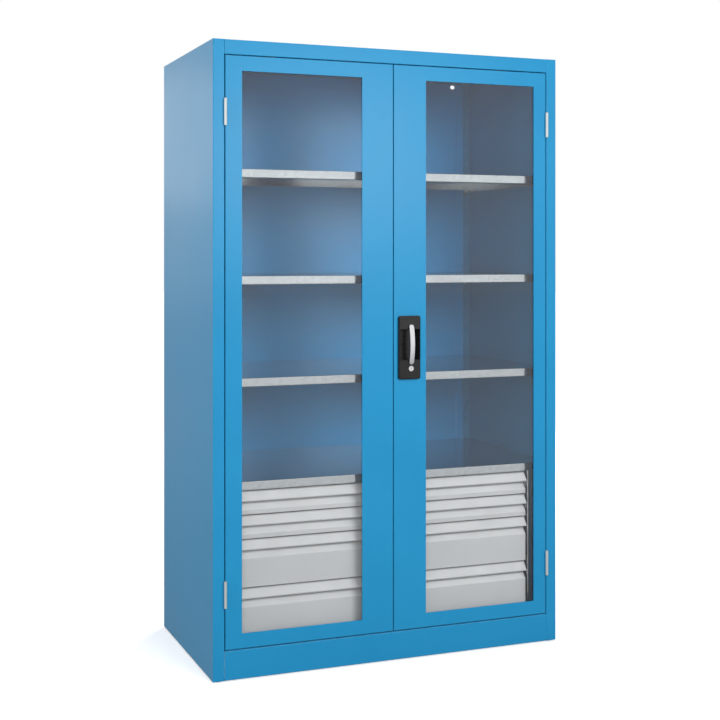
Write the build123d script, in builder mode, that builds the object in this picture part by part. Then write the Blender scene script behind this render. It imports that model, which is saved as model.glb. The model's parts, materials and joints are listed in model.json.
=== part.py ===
from build123d import *
import os
from math import cos, pi, radians, sin

# A storage cabinet with two window doors, three shelves and four full-width drawers.
# Millimetres. X runs along the front, Y from the front to the back, and Z is up.
# The origin is in the middle of the footprint, on the surface that the feet stand on.

# Overall size of the body, without the bow handle and the hinge barrels
width = 1186
depth = 645
height = 1950

# Sheet metal
body_sheet = 1.5
back_sheet = 1.0
shelf_sheet = 1.2
door_sheet = 1.5
drawer_sheet = 1.2
tray_sheet = 1.0
bend_radius = 2.0
fit_gap = 0.3

# Body
stile_width = 36
stile_depth = 30
stile_return = 28
rear_flange = 29
rail_height = 45
rail_return = 25
rail_lip = 10
roof_rear_fold = 10
plinth_top = 93
plinth_return = 25
plinth_foot = 20
floor_fold = 20
slot_lowest = 641
slot_top_gap = 159
slot_count = 24
slot_width = 4
slot_length = 12
slot_inset = 18
plinth_gap = 0.3

# Back panel beads and the two slots for wall screws
bead_width = 30
bead_depth = 2.5
bead_taper = 35
bead_gap = 1
bead_bottom = 180
bead_top_gap = 50
wall_slot_inset = 74
wall_slot_drop = 20
wall_slot_length = 18
wall_slot_width = 14

# Levelling feet
foot_drop = 3
foot_radius = 9.8
foot_head = 9
foot_stud_radius = 5
foot_stud_top = 48
foot_rear_inset = 17
foot_side_inset = 14.5
bracket_height = 20
bracket_thickness = 6
rear_bracket_width = 46
rear_bracket_depth = 40

# Shelves
shelf_height = 26.5
shelf_setback = 33
shelf_rear_gap = 5
shelf_side_gap = 1.5
shelf_return = 18
shelf_lip = 8
upper_shelf_top = 1560
middle_shelf_top = 1230
lower_shelf_top = 915
cover_top = 597
clip_width = 14
clip_sheet = 2
clip_ledge = 25
tongue_reach = 2
tongue_trim = 2

# Doors
door_gap = 3
door_depth = 22
edge_lip = 12
lock_lip = 30
door_frame_width = 158
window_top_margin = 46
window_bottom_margin = 45.5
right_hinge_margin = 45.5
left_hinge_margin = 52.3
seal_thickness = 1
seal_setback = 2
pane_thickness = 4
pane_overlap = 13
pane_side_gap = 0.5
strip_sheet = 1.5
strip_setback = 3
strip_reach = 26
cover_sheet = 1.2
cover_gap = 1
cover_start = 24
cover_fold = 6
cover_margin = 2
astragal_sheet = 1.5
astragal_seat = 20
astragal_overlap = 9
astragal_clearance = 0.6
stop_width = 30
stop_place = 400
stop_rise = 4
stop_foot_depth = 15
buffer_width = 20
buffer_height = 10
buffer_gap = 0.3

# Lift-off hinges
hinge_radius = 5
hinge_proud = 5.5
hinge_half = 41
hinge_split = 0.5
hinge_leaf = 1.5
hinge_leaf_depth = 18
pin_radius = 2.5
pin_reach = 30
pin_play = 0.05
pin_end_gap = 1
lower_hinge_rise = 169.5
upper_hinge_drop = 172.5

# Handle plate with its finger recess, the bow and the key lock
plate_width = 75.5
plate_height = 203
plate_proud = 12
plate_corner = 8
plate_edge = 3
plate_offset = 13.5
plate_drop = 34.5
recess_width = 69
recess_height = 99
recess_rise = 27
recess_depth = 24
recess_floor_width = 46
recess_floor_height = 91
recess_wall = 2
recess_clearance = 1.25
bow_length = 130
bow_rise = 12
bow_width = 16.5
bow_thickness = 7.5
bow_edge = 2.4
bow_reach = 28
bow_end = 5
bow_end_round = 7
bow_foot = 8
bow_stand = 2
bow_offset = 3.8
lock_height = 931.5
plug_radius = 8.5
plug_proud = 1
plug_play = 0.1
plug_hole_gap = 1
keyway_width = 1.8
keyway_height = 9
keyway_depth = 6

# Rod lock behind the plate
lock_turn = 90
cam_radius = 12
cam_width = 9
cam_sheet = 3
cam_plane = 11.5
cam_pin_radius = 2.5
rod_plane = 15.5
rod_thickness = 3
rod_width = 15
rod_inset = 3
rod_play = 0.6
rod_side_play = 0.5
rod_hole_play = 0.5
rod_withdrawn = 2
rod_head_margin = 3
rod_tip_chamfer = 3
keeper_width = 60
keeper_depth = 18
keeper_inset = 3
keeper_thickness = 2
case_width = 48
case_drop = 26.5
case_height = 49
case_back = 21
case_wall = 1.5
guide_width = 24
guide_height = 18
guide_back = 20
guide_plate_gap = 80
guide_end_gap = 111

# Drawer unit
unit_front_setback = 46
unit_depth = 565
unit_side_gap = 84
unit_flange = 8
unit_bend = 5
front_side_gap = 9
front_gap = 5
panel_setback = 42
front_heights = [70, 70, 145, 145]
first_front_top = 564.5
lip_proud = 7.6
lip_drop = 26
lip_nose = 3
lip_blunt = 1
lip_fold = 2
grip_lean = 11
recess_in = 18
shadow_height = 8
band_height = 20
tray_length = 535
tray_lift = 6
rim_height = 8
rim_thickness = 2.2
tray_heights = [55, 55, 120, 120]

# Telescopic runners: a fixed channel, a middle member and a drawer channel
runner_space = 18
runner_length = 540
runner_height = 35
runner_sheet = 1.5
runner_flange = 8
runner_play = 0.3
runner_lift = 22
runner_side_gap = 0.5
runner_web_gap = 2

# Places worked out from the sizes
half = width / 2
front = (bow_reach - depth) / 2
back = front + depth
back_inner = back - back_sheet
stile_rear = front + stile_depth
rail_half = half - stile_width - fit_gap
rail_bottom = height - rail_height
door_outer = half - stile_width - door_gap
door_inner = door_gap / 2
door_width = door_outer - door_inner
door_bottom = plinth_top + door_gap
door_top = rail_bottom - door_gap
door_height = door_top - door_bottom
door_back = front + door_depth
window_width = door_width - door_frame_width
window_bottom = door_bottom + window_bottom_margin
window_top = door_top - window_top_margin
window_height = window_top - window_bottom
hinge_x = half - stile_width - door_gap / 2
hinge_y = front - hinge_proud
hinge_heights = [door_bottom + lower_hinge_rise, door_top - upper_hinge_drop]
floor_top = plinth_top
slot_x = half - slot_inset
slot_pitch = (height - slot_top_gap - slot_lowest) / (slot_count - 1)
slot_heights = [slot_lowest + slot_pitch * i for i in range(slot_count)]
plate_x = door_inner + plate_offset + plate_width / 2
plate_bottom = lock_height - plate_drop
recess_bottom = lock_height + recess_rise
bow_bottom = lock_height + bow_rise
case_bottom = lock_height - case_drop
case_top = case_bottom + case_height
lock_x = plate_x + bow_offset
rod_x = rod_inset + rod_width / 2
upper_rod_x = lock_x + rod_x
lower_rod_x = lock_x - rod_x
skin_share = plate_proud / recess_depth
recess_skin_width = recess_width - (recess_width - recess_floor_width) * skin_share
recess_skin_height = recess_height - (recess_height - recess_floor_height) * skin_share
unit_half = half - unit_side_gap
unit_front = front + unit_front_setback
unit_rear = unit_front + unit_depth
unit_top = cover_top - shelf_height
front_half = unit_half - front_side_gap
panel_y = front + panel_setback
tray_front = panel_y + recess_in + drawer_sheet
tray_half = unit_half - runner_space
runner_front = tray_front
front_tops = [first_front_top - sum(front_heights[:i]) - front_gap * i for i in range(4)]
front_bottoms = [top - h for top, h in zip(front_tops, front_heights)]


def upright(y):
    """A plane that faces the front of the cabinet at depth y, with X across and Z up."""
    return Plane(origin=(0, y, 0), x_dir=(1, 0, 0), z_dir=(0, -1, 0))


def rod_hole(x):
    """The hole in a horizontal sheet through which a lock rod passes, centred on the rod."""
    with BuildSketch() as hole:
        with Locations((x, front + rod_plane + rod_thickness / 2)):
            Rectangle(rod_width + 2 * rod_hole_play, rod_thickness + 2 * rod_hole_play)
    return hole.sketch


def folded(
    points, thickness, plane, side=Side.RIGHT, bent=(), radius=bend_radius, corner=Kind.INTERSECTION
):
    """The section of a folded sheet: a line and its copy one sheet thickness beside it.
    The corners listed in bent, counted from 1, are rounded."""
    with BuildSketch(plane) as section:
        with BuildLine():
            if bent:
                radii = [radius if i in bent else 0 for i in range(1, len(points) - 1)]
                path = FilletPolyline(*points, radius=radii)
            else:
                path = Polyline(*points)
            offset(path, amount=thickness, side=side, kind=corner)
        make_face()
    return section.sketch


def plate(low, high):
    """A square-edged piece of plate or sheet between two opposite corners."""
    centre = [(a + b) / 2 for a, b in zip(low, high)]
    size = [b - a for a, b in zip(low, high)]
    with BuildPart() as piece:
        with Locations(tuple(centre)):
            Box(*size)
    return piece.part


def ring(inner, outer, y_front, y_rear, x, z):
    """A rectangular ring round the window, between two margins outside its edge."""
    with BuildPart() as piece:
        with BuildSketch(upright(y_front)):
            with Locations((x, z)):
                Rectangle(window_width + 2 * outer, window_height + 2 * outer)
                Rectangle(window_width + 2 * inner, window_height + 2 * inner, mode=Mode.SUBTRACT)
        extrude(amount=-(y_rear - y_front))
    return piece.part


# Side panels: the front edge is folded into a box stile, the rear edge into a flange

side_outline = [
    (-half + stile_width - stile_return, stile_rear),
    (-half + stile_width, stile_rear),
    (-half + stile_width, front),
    (-half, front),
    (-half, back_inner),
    (-half + rear_flange, back_inner),
]

with BuildPart() as left_side_panel:
    side_section = folded(side_outline, body_sheet, Plane.XY.offset(foot_drop), bent=(2, 3, 4))
    extrude(side_section, amount=height - body_sheet - foot_drop)
    with BuildSketch(upright(stile_rear - 2 * body_sheet)):
        with Locations(*[(-slot_x, z) for z in slot_heights]):
            Rectangle(slot_width, slot_length)
    extrude(amount=-depth, mode=Mode.SUBTRACT)

with BuildPart() as right_side_panel:
    mirror(left_side_panel.part, about=Plane.YZ)

# Back panel with two pressed beads and two slots for wall screws

with BuildPart() as back_panel:
    back_middle = (foot_drop + height) / 2
    bead_top = height - bead_top_gap
    bead_x = half - rear_flange - bead_width / 2 - bead_gap
    bead_places = [(side * bead_x, (bead_bottom + bead_top) / 2) for side in (-1, 1)]
    with BuildSketch(upright(back_inner)):
        with Locations((0, back_middle)):
            Rectangle(width - 2 * back_sheet, height - foot_drop)
    extrude(amount=-back_sheet)
    with BuildSketch(upright(back_inner)):
        with Locations(*bead_places):
            Rectangle(bead_width, bead_top - bead_bottom)
    extrude(amount=bead_depth, taper=bead_taper)
    with BuildSketch(upright(back)):
        with Locations(*bead_places):
            Rectangle(bead_width - back_sheet, bead_top - bead_bottom - back_sheet)
    extrude(amount=bead_depth, taper=bead_taper, mode=Mode.SUBTRACT)
    wall_slot_x = half - wall_slot_inset
    with BuildSketch(upright(back_inner)):
        with Locations(*[(side * wall_slot_x, height - wall_slot_drop) for side in (-1, 1)]):
            SlotOverall(wall_slot_length, wall_slot_width)
    extrude(amount=-back_sheet, mode=Mode.SUBTRACT)

# Roof: its front edge is folded down into the top rail

rail_outline = [
    (front + rail_return, rail_bottom + rail_lip),
    (front + rail_return, rail_bottom),
    (front, rail_bottom),
    (front, height),
    (back_inner, height),
    (back_inner, height - roof_rear_fold),
]

with BuildPart() as roof_panel:
    extrude(folded(rail_outline, body_sheet, Plane.YZ, bent=(2, 3)), amount=rail_half, both=True)
    for side in (-1, 1):
        low_x = min(side * rail_half, side * half)
        add(plate((low_x, front, height - body_sheet), (low_x + half - rail_half, back_inner, height)))
    with BuildSketch(Plane.XY.offset(rail_bottom)):
        add(rod_hole(upper_rod_x))
    extrude(amount=body_sheet, mode=Mode.SUBTRACT)

# Floor, notched round the stiles and the rear flanges, with its sides folded down

with BuildPart() as floor_panel:
    floor_half = half - body_sheet - fit_gap
    notch_front = stile_rear + fit_gap
    notch_rear = back_inner - body_sheet - fit_gap
    flange_half = half - rear_flange - fit_gap
    with BuildSketch(Plane.XY.offset(floor_top - body_sheet)):
        with BuildLine():
            Polyline(
                (0, front),
                (rail_half, front),
                (rail_half, notch_front),
                (floor_half, notch_front),
                (floor_half, notch_rear),
                (flange_half, notch_rear),
                (flange_half, back_inner),
                (0, back_inner),
            )
            mirror(about=Plane.YZ)
        make_face()
        add(rod_hole(lower_rod_x), mode=Mode.SUBTRACT)
    extrude(amount=body_sheet)
    fold_top = floor_top - body_sheet
    for inner, outer in ((floor_half - body_sheet, floor_half), (-floor_half, body_sheet - floor_half)):
        add(plate((inner, notch_front, fold_top - floor_fold), (outer, notch_rear, fold_top)))

# Plinths under the floor, front and rear

plinth_head = floor_top - body_sheet

with BuildPart() as front_plinth:
    plinth_outline = [
        (front + plinth_return, plinth_head),
        (front, plinth_head),
        (front, foot_drop),
        (front + plinth_foot, foot_drop),
    ]
    plinth_section = folded(plinth_outline, body_sheet, Plane.YZ, side=Side.LEFT, bent=(1, 2))
    extrude(plinth_section, amount=half - stile_width - plinth_gap, both=True)
    with BuildSketch(Plane.XY.offset(plinth_head - body_sheet)):
        add(rod_hole(lower_rod_x))
    extrude(amount=body_sheet, mode=Mode.SUBTRACT)

with BuildPart() as rear_plinth:
    rear_outline = [
        (back_inner - plinth_return, plinth_head),
        (back_inner, plinth_head),
        (back_inner, foot_drop),
        (back_inner - plinth_foot, foot_drop),
    ]
    rear_section = folded(rear_outline, body_sheet, Plane.YZ)
    extrude(rear_section, amount=half - rear_flange - fit_gap, both=True)

# Keeper plates that take the ends of the two lock rods

with BuildPart() as rod_keepers:
    keeper_bottoms = [rail_bottom + body_sheet, plinth_head - body_sheet - keeper_thickness]
    for x, z in zip((upper_rod_x, lower_rod_x), keeper_bottoms):
        with BuildSketch(Plane.XY.offset(z)):
            with Locations((x, front + body_sheet + keeper_inset + keeper_depth / 2)):
                Rectangle(keeper_width, keeper_depth)
            add(rod_hole(x), mode=Mode.SUBTRACT)
        extrude(amount=keeper_thickness)

# Levelling feet, screwed into bracket plates in the four bottom corners

front_foot = (half - stile_width / 2, front + stile_depth / 2)
rear_foot = (half - foot_side_inset, back_inner - foot_rear_inset)
foot_places = [(side * x, y) for side in (-1, 1) for x, y in (front_foot, rear_foot)]

with BuildPart() as levelling_feet:
    with BuildSketch():
        with Locations(*foot_places):
            RegularPolygon(foot_radius, 6)
    extrude(amount=foot_head)
    with BuildSketch(Plane.XY.offset(foot_head)):
        with Locations(*foot_places):
            Circle(foot_stud_radius)
    extrude(amount=foot_stud_top - foot_head)

with BuildPart() as foot_brackets:
    bracket_gap = body_sheet + fit_gap
    rear_bracket_x = half - bracket_gap - rear_bracket_width / 2
    rear_bracket_y = back_inner - bracket_gap - rear_bracket_depth / 2
    with BuildSketch(Plane.XY.offset(bracket_height)):
        with Locations(front_foot):
            Rectangle(stile_width - 2 * bracket_gap, stile_depth - 2 * bracket_gap)
        with Locations((rear_bracket_x, rear_bracket_y)):
            Rectangle(rear_bracket_width, rear_bracket_depth)
        with Locations(front_foot, rear_foot):
            Circle(foot_stud_radius + pin_play, mode=Mode.SUBTRACT)
    extrude(amount=bracket_thickness)
    mirror(about=Plane.YZ)

# Shelves: trays with folded edges; a fourth one covers the drawer unit

shelf_front = front + shelf_setback
shelf_rear = back - shelf_rear_gap
shelf_half = half - body_sheet - shelf_side_gap


def shelf(top):
    """A shelf tray whose front, rear and ends are folded down, with its top at the given height."""
    bottom = top - shelf_height
    outline = [
        (shelf_front + shelf_return, bottom + shelf_lip),
        (shelf_front + shelf_return, bottom),
        (shelf_front, bottom),
        (shelf_front, top),
        (shelf_rear, top),
        (shelf_rear, bottom + shelf_lip),
    ]
    with BuildPart() as tray:
        extrude(folded(outline, shelf_sheet, Plane.YZ, bent=(2, 3)), amount=shelf_half, both=True)
        fold_low = (shelf_half - shelf_sheet, shelf_front + shelf_return, bottom)
        fold_high = (shelf_half, shelf_rear - shelf_sheet, top - shelf_sheet)
        add(plate(fold_low, fold_high))
        add(plate((-fold_high[0], fold_low[1], bottom), (-fold_low[0], fold_high[1], fold_high[2])))
    return tray.part


with BuildPart() as upper_shelf:
    add(shelf(upper_shelf_top))

with BuildPart() as middle_shelf:
    add(shelf(middle_shelf_top))

with BuildPart() as lower_shelf:
    add(shelf(lower_shelf_top))

with BuildPart() as drawer_unit_cover:
    add(shelf(cover_top))

# Clips that hang in the slots of the stiles and rear flanges and carry the shelves

with BuildPart() as shelf_clips:
    rear_face = back_inner - body_sheet
    clip_side = clip_width / 2
    tongue_side = slot_width / 2 - fit_gap
    tongue_rise = slot_length / 2 - tongue_trim
    for top in (upper_shelf_top, middle_shelf_top, lower_shelf_top):
        ledge = top - shelf_height
        slot = slot_lowest + slot_pitch * round((ledge - slot_lowest) / slot_pitch)
        low = min(slot, ledge) - slot_length
        high = max(slot, ledge) + slot_length / 2
        left, right = slot_x - clip_side, slot_x + clip_side
        ledge_rear = stile_rear + clip_sheet + clip_ledge
        ledge_front = rear_face - clip_sheet - clip_ledge
        add(plate((left, stile_rear, low), (right, stile_rear + clip_sheet, high)))
        add(plate((left, stile_rear, ledge - clip_sheet), (right, ledge_rear, ledge)))
        tongue_low = (slot_x - tongue_side, stile_rear - body_sheet - tongue_reach, slot - tongue_rise)
        add(plate(tongue_low, (slot_x + tongue_side, stile_rear, slot + tongue_rise)))
        add(plate((left, rear_face - clip_sheet, low), (right, rear_face, high)))
        add(plate((left, ledge_front, ledge - clip_sheet), (right, rear_face, ledge)))
        tongue_low = (slot_x - tongue_side, rear_face, slot - tongue_rise)
        add(plate(tongue_low, (slot_x + tongue_side, back_inner, slot + tongue_rise)))
    mirror(about=Plane.YZ)

# Drawer unit: two walls and a rear panel; the walls' front flanges reach to the side panels

with BuildPart() as drawer_unit_right_wall:
    wall_outline = [
        (shelf_half, unit_front),
        (unit_half, unit_front),
        (unit_half, unit_rear),
        (unit_half + unit_flange, unit_rear),
    ]
    wall_foot = Plane.XY.offset(floor_top)
    wall_section = folded(wall_outline, body_sheet, wall_foot, bent=(1,), radius=unit_bend)
    extrude(wall_section, amount=unit_top - floor_top)

with BuildPart() as drawer_unit_left_wall:
    mirror(drawer_unit_right_wall.part, about=Plane.YZ)

with BuildPart() as drawer_unit_rear_panel:
    rear_half = unit_half + unit_flange
    add(plate((-rear_half, unit_rear, floor_top), (rear_half, unit_rear + body_sheet, unit_top)))

# Runners: each drawer hangs on a pair, and each pair has three members

runner_centres = [bottom + tray_lift + runner_lift for bottom in front_bottoms]
middle_half_height = runner_height / 2 - runner_sheet - runner_play
drawer_half_height = middle_half_height - runner_sheet - runner_web_gap - runner_play
middle_web = unit_half - runner_flange - runner_play


def runner_channel(x_web, x_tip, z, half_height):
    """A pair of channel-shaped members, the web at one X and the flange tips at another."""
    with BuildPart() as pair:
        points = [
            (x_tip, z + half_height),
            (x_web, z + half_height),
            (x_web, z - half_height),
            (x_tip, z - half_height),
        ]
        inside = Side.RIGHT if x_tip < x_web else Side.LEFT
        extrude(folded(points, runner_sheet, upright(runner_front), side=inside), amount=-runner_length)
        mirror(about=Plane.YZ)
    return pair.part


def middle_members(z):
    """A pair of middle members, with flanges towards the fixed channel and the drawer channel."""
    outer_tip = unit_half - runner_sheet - runner_side_gap
    inner_tip = unit_half - runner_space + runner_sheet + runner_side_gap
    inner_flange = drawer_half_height + runner_play
    with BuildPart() as pair:
        with BuildSketch(upright(runner_front)):
            with Locations((middle_web - runner_sheet / 2, z)):
                Rectangle(runner_sheet, 2 * middle_half_height)
            for turn in (-1, 1):
                outer_z = z + turn * (middle_half_height - runner_sheet / 2)
                inner_z = z + turn * (inner_flange + runner_sheet / 2)
                with Locations(((outer_tip + middle_web) / 2, outer_z)):
                    Rectangle(outer_tip - middle_web, runner_sheet)
                with Locations(((inner_tip + middle_web) / 2, inner_z)):
                    Rectangle(middle_web - inner_tip, runner_sheet)
        extrude(amount=-runner_length)
        mirror(about=Plane.YZ)
    return pair.part


with BuildPart() as fixed_runners:
    for z in runner_centres:
        add(runner_channel(unit_half, unit_half - runner_flange, z, runner_height / 2))

# Drawers: a front with a full-width grip, a tray and a pair of drawer channels

drawer_parts = {}


def drawer_front(bottom, rise):
    """A front whose sheet steps back under the grip and comes out again as the lip above it."""
    top = bottom + rise
    lip_under = top - lip_drop - lip_nose
    band_top = lip_under - shadow_height
    sheet_line = [
        (tray_front, bottom),
        (panel_y, bottom),
        (panel_y, band_top - band_height),
        (panel_y + recess_in, band_top),
        (panel_y + recess_in, lip_under - lip_fold),
        (panel_y - lip_proud + lip_blunt, lip_under),
        (panel_y - lip_proud, top - lip_drop),
        (panel_y + grip_lean, top),
        (tray_front, top),
    ]
    with BuildPart() as piece:
        sheet_section = folded(sheet_line, drawer_sheet, Plane.YZ, corner=Kind.ARC)
        extrude(sheet_section, amount=front_half, both=True)
        with BuildSketch(Plane.YZ.offset(front_half - drawer_sheet)):
            with BuildLine():
                Polyline(*sheet_line, close=True)
            make_face()
        extrude(amount=drawer_sheet)
        with BuildSketch(Plane.YZ.offset(-front_half)):
            with BuildLine():
                Polyline(*sheet_line, close=True)
            make_face()
        extrude(amount=drawer_sheet)
    return piece.part


def drawer_tray(bottom, rise):
    """An open tray with a hemmed rim, fixed to the rear of its front."""
    floor = bottom + tray_lift
    middle = tray_front + tray_length / 2
    with BuildPart() as piece:
        with BuildSketch(Plane.XY.offset(floor)):
            with Locations((0, middle)):
                Rectangle(2 * tray_half, tray_length)
        extrude(amount=rise)
        with BuildSketch(Plane.XY.offset(floor + tray_sheet)):
            with Locations((0, middle)):
                Rectangle(2 * (tray_half - tray_sheet), tray_length - 2 * tray_sheet)
        extrude(amount=rise - tray_sheet - rim_height, mode=Mode.SUBTRACT)
        with BuildSketch(Plane.XY.offset(floor + rise - rim_height)):
            with Locations((0, middle)):
                Rectangle(2 * (tray_half - rim_thickness), tray_length - 2 * rim_thickness)
        extrude(amount=rim_height, mode=Mode.SUBTRACT)
    return piece.part


for number in range(4):
    bottom = front_bottoms[number]
    centre = runner_centres[number]
    name = f"drawer_{number + 1}"
    web = unit_half - runner_space
    tip = middle_web - runner_sheet - runner_play
    drawer_parts[name + "_front"] = drawer_front(bottom, front_heights[number])
    drawer_parts[name + "_tray"] = drawer_tray(bottom, tray_heights[number])
    drawer_parts[name + "_channels"] = runner_channel(web, tip, centre, drawer_half_height)
    drawer_parts[name + "_middle_runners"] = middle_members(centre)

# Doors: both are pans with folded edges and a window; the sizes are for the right one,
# and the left one is its mirror image with another margin beside the hinges


def door_window(hinge_margin):
    """The middle of the window of a right-hand door."""
    return door_outer - hinge_margin - window_width / 2, (window_bottom + window_top) / 2


def door_pan(hinge_margin):
    """A right-hand door: outer skin with its window, and folded edges with lips."""
    x, z = door_window(hinge_margin)
    middle = ((door_inner + door_outer) / 2, (door_bottom + door_top) / 2)
    with BuildPart() as pan:
        with BuildSketch(upright(front)):
            with Locations(middle):
                Rectangle(door_width, door_height)
        extrude(amount=-door_depth)
        fillet(pan.faces().sort_by(Axis.Y)[0].edges(), bend_radius / 2)
        with BuildSketch(upright(front + door_sheet)):
            with Locations(middle):
                Rectangle(door_width - 2 * door_sheet, door_height - 2 * door_sheet)
        extrude(amount=-(door_depth - 2 * door_sheet), mode=Mode.SUBTRACT)
        open_left = door_inner + lock_lip
        open_right = door_outer - edge_lip
        with BuildSketch(upright(door_back - door_sheet)):
            with Locations(((open_left + open_right) / 2, middle[1])):
                Rectangle(open_right - open_left, door_height - 2 * edge_lip)
        extrude(amount=-door_sheet, mode=Mode.SUBTRACT)
        with BuildSketch(upright(front)):
            with Locations((x, z)):
                Rectangle(window_width, window_height)
        extrude(amount=-door_sheet, mode=Mode.SUBTRACT)
    return pan.part


def pane(hinge_margin):
    """The clear pane behind the skin round the window."""
    x, z = door_window(hinge_margin)
    with BuildPart() as sheet:
        with BuildSketch(upright(front + door_sheet + seal_thickness)):
            with Locations((x, z)):
                Rectangle(window_width + 2 * pane_overlap, window_height + 2 * pane_overlap)
        extrude(amount=-pane_thickness)
    return sheet.part


def glazing_seal(hinge_margin):
    """The flat rubber seal between the door's skin and the pane."""
    x, z = door_window(hinge_margin)
    seal_front = front + door_sheet
    with BuildPart() as seal:
        add(ring(seal_setback, pane_overlap, seal_front, seal_front + seal_thickness, x, z))
    return seal.part


def glazing_strips(hinge_margin):
    """Four mitred strips of Z section that hold the pane against its seal."""
    x, z = door_window(hinge_margin)
    seat = front + door_sheet
    pane_rear = seat + seal_thickness + pane_thickness
    step = pane_overlap + pane_side_gap
    with BuildPart() as strips:
        add(ring(strip_setback, step + strip_sheet, pane_rear, pane_rear + strip_sheet, x, z))
        add(ring(step, step + strip_sheet, seat, pane_rear + strip_sheet, x, z))
        add(ring(step, strip_reach, seat, seat + strip_sheet, x, z))
        with BuildSketch(upright(seat)):
            for across in (-1, 1):
                for up in (-1, 1):
                    corner = (x + across * window_width / 2, z + up * window_height / 2)
                    with Locations(Location(corner, across * up * 45)):
                        Rectangle(3 * strip_reach, fit_gap)
        extrude(amount=-(pane_rear + strip_sheet - seat), mode=Mode.SUBTRACT)
    return strips.part


def inner_cover(hinge_margin):
    """The cover behind the lock side, screwed to the lips, with a stiffening fold beside the window."""
    x = door_window(hinge_margin)[0] - window_width / 2 - strip_reach - cover_gap
    points = [
        (cover_start, door_back + cover_sheet),
        (x, door_back + cover_sheet),
        (x, door_back + cover_sheet - cover_fold),
    ]
    with BuildPart() as cover:
        section = folded(points, cover_sheet, Plane.XY.offset(door_bottom + cover_margin), bent=(1,))
        extrude(section, amount=door_height - 2 * cover_margin)
        notch_high = (x + fit_gap, door_back, door_bottom + edge_lip + fit_gap)
        notch_low = (x - cover_sheet - bend_radius, door_back - cover_fold, door_bottom)
        add(plate(notch_low, notch_high), mode=Mode.SUBTRACT)
        notch_low = (notch_low[0], notch_low[1], door_top - edge_lip - fit_gap)
        add(plate(notch_low, (notch_high[0], door_back, door_top)), mode=Mode.SUBTRACT)
    return cover.part


with BuildPart() as right_door_panel:
    add(door_pan(right_hinge_margin))
    with BuildSketch(upright(front)):
        with Locations((plate_x, recess_bottom + recess_height / 2)):
            Rectangle(
                recess_skin_width + 2 * (recess_wall + recess_clearance),
                recess_skin_height + 2 * (recess_wall + recess_clearance),
            )
        with Locations((lock_x, lock_height)):
            Circle(plug_radius + plug_hole_gap)
    extrude(amount=-door_sheet, mode=Mode.SUBTRACT)
    for x, z in ((upper_rod_x, door_top - door_sheet), (lower_rod_x, door_bottom)):
        with BuildSketch(Plane.XY.offset(z)):
            add(rod_hole(x))
        extrude(amount=door_sheet, mode=Mode.SUBTRACT)

with BuildPart() as right_door_pane:
    add(pane(right_hinge_margin))

with BuildPart() as right_door_seal:
    add(glazing_seal(right_hinge_margin))

with BuildPart() as right_door_glazing_strips:
    add(glazing_strips(right_hinge_margin))

with BuildPart() as right_door_inner_cover:
    add(inner_cover(right_hinge_margin))

with BuildPart() as left_door_panel:
    mirror(door_pan(left_hinge_margin), about=Plane.YZ)

with BuildPart() as left_door_pane:
    mirror(pane(left_hinge_margin), about=Plane.YZ)

with BuildPart() as left_door_seal:
    mirror(glazing_seal(left_hinge_margin), about=Plane.YZ)

with BuildPart() as left_door_glazing_strips:
    mirror(glazing_strips(left_hinge_margin), about=Plane.YZ)

with BuildPart() as left_door_inner_cover:
    mirror(inner_cover(left_hinge_margin), about=Plane.YZ)

# Closing strip on the left door, whose free edge lies behind the right door

with BuildPart() as astragal_strip:
    free_edge = door_inner + astragal_overlap
    strip_y = door_back + astragal_clearance
    strip_line = [
        (-door_inner - astragal_seat, door_back),
        (-door_inner - 2 * astragal_clearance, door_back),
        (-door_inner, strip_y),
        (free_edge, strip_y),
    ]
    strip_plane = Plane.XY.offset(door_bottom + edge_lip)
    strip_section = folded(strip_line, astragal_sheet, strip_plane, side=Side.LEFT)
    extrude(strip_section, amount=door_height - 2 * edge_lip)

# Door stops behind the top rail and on the floor, each with a rubber buffer

with BuildPart() as door_stops:
    stop_y = front + rail_return
    stop_top = rail_bottom + rail_lip
    stop_foot = [
        (stop_y, door_bottom + edge_lip + stop_rise),
        (stop_y, floor_top),
        (stop_y + stop_foot_depth, floor_top),
    ]
    for side in (-1, 1):
        left = side * stop_place - stop_width / 2
        right = left + stop_width
        add(plate((left, stop_y, door_top - edge_lip - stop_rise), (right, stop_y + body_sheet, stop_top)))
        extrude(folded(stop_foot, body_sheet, Plane.YZ.offset(left), side=Side.LEFT), amount=stop_width)

with BuildPart() as door_buffers:
    for z in (door_top - edge_lip / 2, door_bottom + edge_lip / 2):
        with BuildSketch(upright(stop_y)):
            with Locations((-stop_place, z), (stop_place, z)):
                Rectangle(buffer_width, buffer_height)
        extrude(amount=stop_y - door_back - buffer_gap)

# Lift-off hinges: the frame halves carry the pins, the door halves turn on them


def hinge_half_pair(x_leaf, z_from_split, bore_radius, bore_depth):
    """The halves of both hinges of the right door, on one side of the split."""
    with BuildPart() as halves:
        for z in hinge_heights:
            end = z + z_from_split * (hinge_split / 2)
            far = z + z_from_split * hinge_half
            with BuildSketch(Plane.XY.offset(min(end, far))):
                with Locations((hinge_x, hinge_y)):
                    Circle(hinge_radius)
                leaf_front = hinge_y
                leaf_rear = front + hinge_leaf_depth
                with Locations((x_leaf, (leaf_front + leaf_rear) / 2)):
                    Rectangle(hinge_leaf, leaf_rear - leaf_front)
            extrude(amount=hinge_half - hinge_split / 2)
            bore_low = end if z_from_split > 0 else end - bore_depth
            with BuildSketch(Plane.XY.offset(bore_low)):
                with Locations((hinge_x, hinge_y)):
                    Circle(bore_radius)
            extrude(amount=bore_depth, mode=Mode.SUBTRACT)
    return halves.part


frame_leaf_x = hinge_x + hinge_leaf / 2
door_leaf_x = hinge_x - hinge_leaf / 2

with BuildPart() as hinge_frame_halves:
    add(hinge_half_pair(frame_leaf_x, -1, pin_radius, pin_reach))
    mirror(about=Plane.YZ)

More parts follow.
